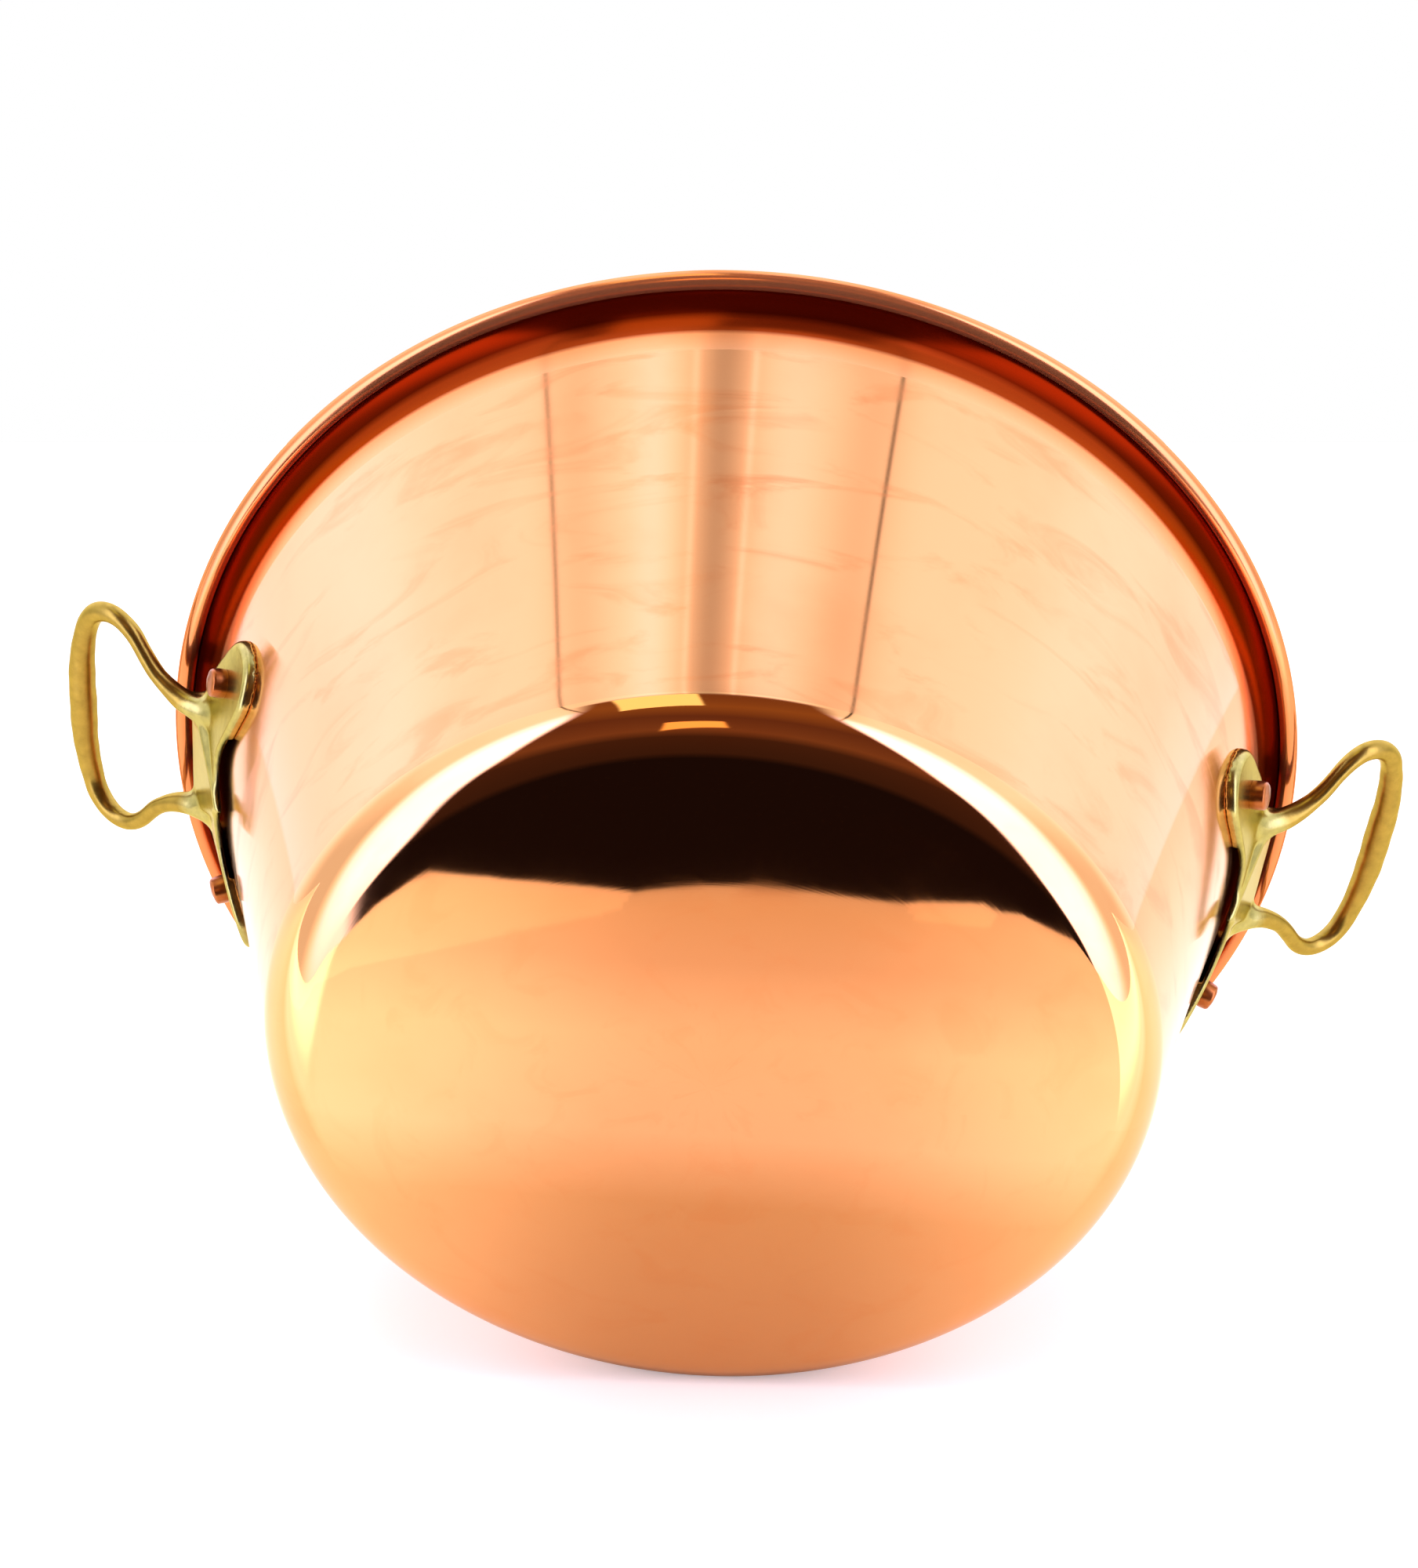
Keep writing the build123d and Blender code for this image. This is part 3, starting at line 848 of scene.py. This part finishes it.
def view_axes():
    """The camera's right, up and look directions, and the studio's right, far and up directions, all in the
    row's frame. The table touches the rim and the base's corner, and is level with the camera's right."""
    # The camera's turns in radians: up from the level, about its own axis, and round the pan
    tilt, roll, turn = 0.938794, 0.0860623, np.radians(-1.5)
    look = np.array([0, np.cos(tilt), np.sin(tilt)])
    up = np.array([0, -np.sin(tilt), np.cos(tilt)])
    side = np.array([1.0, 0, 0])
    side, up = np.cos(roll) * side + np.sin(roll) * up, np.cos(roll) * up - np.sin(roll) * side
    spin = np.array([[np.cos(turn), -np.sin(turn), 0], [np.sin(turn), np.cos(turn), 0], [0, 0, 1]])
    side, up, look = spin @ side, spin @ up, spin @ look
    # The table's upward direction, before it gets the length 1: across the pan's axis, and along it
    azimuth, out, rise = np.radians(83.365), -0.93, 0.3676
    above = np.array([out * np.cos(azimuth), out * np.sin(azimuth), rise])
    above /= np.linalg.norm(above)
    right = side - side @ above * above
    right /= np.linalg.norm(right)
    return side, up, look, right, np.cross(above, right), above


# Front edges of the board and of the paper on it: to the right of the pan's axis, and beyond it, in metres
board_front = ((-1.7, -0.05), (-0.5, -0.05), (-0.25, -0.08), (-0.17, -0.085), (-0.155, -0.09), (-0.146, -0.0985),
               (-0.141, -0.109), (-0.135, -0.118), (-0.127, -0.1225), (-0.115, -0.1245), (-0.093, -0.1255),
               (-0.065, -0.1245), (-0.03, -0.121), (0.011, -0.1195), (0.041, -0.1235), (0.078, -0.125),
               (0.093, -0.1195), (0.1064, -0.1085), (0.12, -0.095), (0.135, -0.085), (0.16, -0.08), (0.25, -0.08),
               (0.5, -0.05), (1.7, -0.05))
paper_front = ((-1.7, 0.02), (-0.5, -0.02), (-0.15, -0.088), (-0.1, -0.105), (-0.037, -0.124), (0.009, -0.1275),
               (0.0565, -0.1244), (0.1, -0.12), (0.5, -0.08), (1.7, -0.08))


def board(name, along, front, back, axes, drop):
    """A level sheet from its front line to the back, whose front edge rolls down in a quarter circle."""
    right, far, above = axes
    radius = 0.02
    share = np.linspace(0, 1, 14)[:, None]
    roll = np.radians(np.linspace(0, 90, 8))[1:, None]
    depth = np.concatenate([back + (front - back) * share, front - radius * np.sin(roll)])
    fall = np.concatenate([0 * depth[:len(share)], radius * (1 - np.cos(roll)) + 0 * front])
    points = along[:, None] * right + depth[..., None] * far - (drop + fall)[..., None] * above
    row, column = np.meshgrid(np.arange(len(depth) - 1), np.arange(len(along) - 1), indexing="ij")
    first = (row * len(along) + column).ravel()
    faces = np.stack([first, first + len(along), first + len(along) + 1, first + 1], axis=-1)
    return build(name, points.reshape(-1, 3), faces.tolist())


class JAMPAN_OT_studio(bpy.types.Operator):
    """A white table under the pan as it lies on its side, soft light, a dark room behind the camera"""
    bl_idname = "jampan.studio"
    bl_label = "Studio"

    def execute(self, context):
        studio = context.scene.jam_pan_studio
        side, up, look, right, far, above = view_axes()
        # How far the table is below the middle of the pan's base, and how far it reaches aside and beyond
        drop, reach, back = 0.12062, 1.6, 2.4
        along = np.linspace(-reach, reach, 161)
        # A second sheet lies on the first. Both front edges show as lines in the polished base
        for name, line, lift in (("board", board_front, 0.0), ("paper", paper_front, 0.0004)):
            front = np.interp(along, *smooth_line(line, 400).T)
            floor = board(name, along, front, back, (right, far, above), drop - lift)
            floor.data.materials.append(white_table(name, right, far))
        camera = bpy.data.cameras.new("camera")
        camera.lens = studio.lens
        camera.sensor_width = 36
        eye = bpy.data.objects.new("camera", camera)
        # How far the middle of the picture is from the middle of the base, to the right and up
        aside, higher = 0.0000976, 0.0898373
        eye.matrix_world = placed(side, up, -look, aside * side + higher * up - studio.distance * look)
        context.scene.collection.objects.link(eye)
        context.scene.camera = eye
        for name, where, size, power in (
            ("overhead", 0.95 * above - 0.05 * far, 0.9, 5.0),
            ("left_fill", -1.0 * right + 0.3 * above - 0.3 * far, 0.6, 2.0),
            ("right_fill", 1.0 * right + 0.3 * above - 0.3 * far, 0.6, 2.0),
        ):
            lamp = bpy.data.lights.new(name, "AREA")
            lamp.shape, lamp.size, lamp.energy = "DISK", size, power
            lit = bpy.data.objects.new(name, lamp)
            away = where / np.linalg.norm(where)
            cross = np.cross(far, away)
            cross /= np.linalg.norm(cross)
            lit.matrix_world = placed(cross, np.cross(away, cross), away, where)
            lit.visible_glossy = False
            context.scene.collection.objects.link(lit)
        room(right, far, above)
        context.scene.view_settings.view_transform = "Standard"
        return {"FINISHED"}


# The pan shades and warms the table: colours from 13 cm before the middle of its base (0) to 7 cm beyond
# it (1)
table_stops = ((0.0, (0.55, 0.42, 0.27)), (0.12, (0.62, 0.5, 0.37)), (0.27, (0.82, 0.76, 0.63)),
               (0.45, (0.88, 0.84, 0.74)), (0.58, (0.68, 0.6, 0.42)), (1.0, (0.7, 0.66, 0.51)))


def white_table(name, right, far):
    """Matt white board, or the creamier paper on it. Towards the camera it is as bright as the background, so
    only shadows show on it, and its back lets the camera see through."""
    material, tree, shader = fresh(f"matt_white_{name}")
    path = add(tree, "ShaderNodeLightPath").outputs
    place = own_place(tree)
    beyond, aside = toward(tree, place, far), toward(tree, place, right)
    gain = {"board": 1.2, "paper": 1.0}[name]
    shaded = graded(tree, share_of(tree, beyond, -0.13, 0.07), [
        (where, [min(gain * value, 0.95) for value in values]) for where, values in table_stops])
    fill(tree, shader, {
        "Base Color": mix(tree, path["Is Camera Ray"], shaded, rgba(colour("#F4F1EA"))), "Roughness": 0.9,
        "Specular IOR Level": 0.0, "Normal": bumps(tree, noise(tree, place, 60.0), 0.0001, 0.1)})
    # On either side of the board, 15 cm from the middle, the tent's floor is lit from below
    sides = calc(tree, "ADD", step(tree, aside, -0.151, -0.155), step(tree, aside, 0.145, 0.149))
    sides = times(tree, sides, step(tree, beyond, -0.045, -0.08), path["Is Glossy Ray"])
    lift = calc(tree, "MULTIPLY_ADD", path["Is Camera Ray"], 0.28, times(tree, sides, 1.2))
    # Away from the middle the tent's side panels light the table more
    wide = times(tree, step(tree, calc(tree, "ABSOLUTE", aside), 0.02, 0.15), path["Is Glossy Ray"])
    lift = calc(tree, "MULTIPLY_ADD", wide, 0.42, lift)
    glow = add(tree, "ShaderNodeEmission", {"Color": (1, 1, 1, 1), "Strength": lift}).outputs[0]
    lit = add(tree, "ShaderNodeAddShader", {0: shader.outputs[0], 1: glow}).outputs[0]
    behind = times(tree, path["Is Camera Ray"], add(tree, "ShaderNodeNewGeometry").outputs["Backfacing"])
    clear = add(tree, "ShaderNodeBsdfTransparent").outputs[0]
    either = add(tree, "ShaderNodeMixShader", {0: behind, 1: lit, 2: clear}).outputs[0]
    out = next(node for node in tree.nodes if node.type == "OUTPUT_MATERIAL")
    tree.links.new(either, out.inputs["Surface"])
    return material


# Overhead the panels' light changes with the angle from straight up, left to right: middle and width of
# each bell in degrees, and its gain. The slot between the panels is at -2, the seams at -30 and 26
panel_bells = ((-13, 4, 0.25), (10, 4.5, 0.1), (-2, 5, -0.85), (-6.3, 0.6, 0.35), (3, 0.6, 0.35), (-26, 5, -0.3),
               (23, 6, -0.4), (-30, 0.3, -1.25), (26.3, 0.3, -1.25))
# Colours beyond the opening, from straight down (0) to straight up (1): the room is black low down, and
# brown where the lamps light its walls
dark_stops = ((0.0, (0.011, 0.006, 0.006)), (0.1, (0.011, 0.006, 0.006)), (0.17, (0.045, 0.02, 0.013)),
              (0.45, (0.06, 0.025, 0.015)), (0.58, (0.2, 0.08, 0.035)), (0.8, (0.14, 0.05, 0.025)),
              (0.93, (0.29, 0.12, 0.035)), (1.0, (0.21, 0.08, 0.03)))
# Each lamp in the room: its colour, and its ends to the sides and towards the front, as parts of a direction
dark_lamps = (((1.6, 1.5, 0.8, 1), (-0.36, -0.07), (0.05, 0.50)),
              ((1.6, 0.9, 0.3, 1), (-0.21, -0.03), (0.895, 0.97)))


def room(right, far, above):
    """The world. The camera sees white. A reflection sees a tent of white panels that leaves the front open:
    through the opening it sees a dark room with two warm lamps."""
    world = bpy.data.worlds.new("studio")
    bpy.context.scene.world = world
    world.use_nodes = True
    tree = world.node_tree
    tree.nodes.clear()
    way = add(tree, "ShaderNodeTexCoord").outputs["Generated"]
    r, f, u = (toward(tree, way, axis) for axis in (right, far, above))
    front = times(tree, f, -1.0)
    # The panels are brighter overhead and at the back, and a little darker far to the left
    panels = calc(tree, "MULTIPLY_ADD", step(tree, u, 0.0, 0.5), 0.5, 1.05)
    panels = calc(tree, "MULTIPLY_ADD", step(tree, f, 0.1, 0.6), 0.6, panels)
    panels = calc(tree, "MULTIPLY_ADD", step(tree, r, -0.55, -0.85), -0.12, panels)
    angle = calc(tree, "DEGREES", calc(tree, "ARCTAN2", r, u))
    for middle, width, gain in panel_bells:
        off = calc(tree, "DIVIDE", calc(tree, "SUBTRACT", angle, middle), width)
        panels = calc(tree, "MULTIPLY_ADD", calc(tree, "EXPONENT", times(tree, off, off, -1.0)), gain, panels)
    # The tent's opening, an oval seen from inside: low down its half width is a power of 1 - u squared
    low = calc(tree, "MINIMUM", u, 0.0)
    half = calc(tree, "MAXIMUM", calc(tree, "MULTIPLY_ADD", low, times(tree, low, -1.0), 1.0), 0.01)
    half = times(tree, calc(tree, "POWER", half, 0.9), 0.59)
    across = calc(tree, "DIVIDE", calc(tree, "SUBTRACT", r, -0.035), half)
    height = calc(tree, "MAXIMUM", calc(tree, "SUBTRACT", u, 0.2), 0.0)
    oval = calc(tree, "MULTIPLY_ADD", across, across, times(tree, height, height, 1.08))
    opening = times(tree, step(tree, oval, 1.12, 0.94), step(tree, front, 0.01, 0.08))
    # The panels' edges beside the opening are lit most
    lit = calc(tree, "MULTIPLY_ADD", front, 3.2, calc(tree, "MULTIPLY_ADD", u, 0.3, -0.8))
    panels = calc(tree, "MULTIPLY_ADD", step(tree, lit, 0.0, 1.0), 2.2, panels)
    dark = graded(tree, share_of(tree, u, -1.0, 1.0), dark_stops)
    for colours, sides, ends in dark_lamps:
        dark = mix(tree, times(tree, between(tree, r, *sides, 0.01), between(tree, front, *ends, 0.005),
                               step(tree, u, 0.0, 0.1)), dark, colours)
    # The brightest panels are a cooler white
    over = calc(tree, "MAXIMUM", calc(tree, "SUBTRACT", panels, 1.0), 0.0)
    cool = calc(tree, "MINIMUM", calc(tree, "MULTIPLY_ADD", times(tree, over, over), 0.5, 1.0), 1.5)
    white = add(tree, "ShaderNodeCombineColor", {0: panels, 1: panels, 2: times(tree, panels, cool)}).outputs[0]
    seen = mix(tree, opening, white, dark)
    camera_ray = add(tree, "ShaderNodeLightPath").outputs["Is Camera Ray"]
    sky = add(tree, "ShaderNodeBackground", {"Color": mix(tree, camera_ray, seen, (1, 1, 1, 1))})
    add(tree, "ShaderNodeOutputWorld", {"Surface": sky.outputs[0]})


class JAMPAN_PT_panel(bpy.types.Panel):
    """The pan's sizes and colours, and a button for each group of pieces"""
    bl_idname = "JAMPAN_PT_panel"
    bl_label = "Jam pan"
    bl_space_type = "VIEW_3D"
    bl_region_type = "UI"
    bl_category = "Jam pan"

    def draw(self, context):
        for name, operator in groups.items():
            box = self.layout.box()
            for key in getattr(context.scene, name).bl_rna.properties.keys():
                if key not in ("name", "rna_type"):
                    box.prop(getattr(context.scene, name), key)
            if operator:
                box.operator(operator.bl_idname)


groups = {"jam_pan": JAMPAN_OT_sheet, "jam_pan_handle": JAMPAN_OT_handles, "jam_pan_rivet": JAMPAN_OT_rivets,
          "jam_pan_finishes": None, "jam_pan_studio": JAMPAN_OT_studio}
property_groups = {"jam_pan": PanSizes, "jam_pan_handle": HandleSizes, "jam_pan_rivet": RivetSizes,
                   "jam_pan_finishes": Finishes, "jam_pan_studio": StudioSizes}
classes = (*property_groups.values(), JAMPAN_OT_sheet, JAMPAN_OT_handles, JAMPAN_OT_rivets, JAMPAN_OT_studio,
           JAMPAN_PT_panel)


def register():
    for item in classes:
        bpy.utils.register_class(item)
    for name, kind in property_groups.items():
        setattr(bpy.types.Scene, name, bpy.props.PointerProperty(type=kind))


def unregister():
    for name in property_groups:
        delattr(bpy.types.Scene, name)
    for item in reversed(classes):
        bpy.utils.unregister_class(item)


def main():
    """Registers the add-on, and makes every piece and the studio."""
    register()
    bpy.ops.jampan.sheet()
    bpy.ops.jampan.handles()
    bpy.ops.jampan.rivets()
    bpy.ops.jampan.studio()


if __name__ == "__main__":
    main()
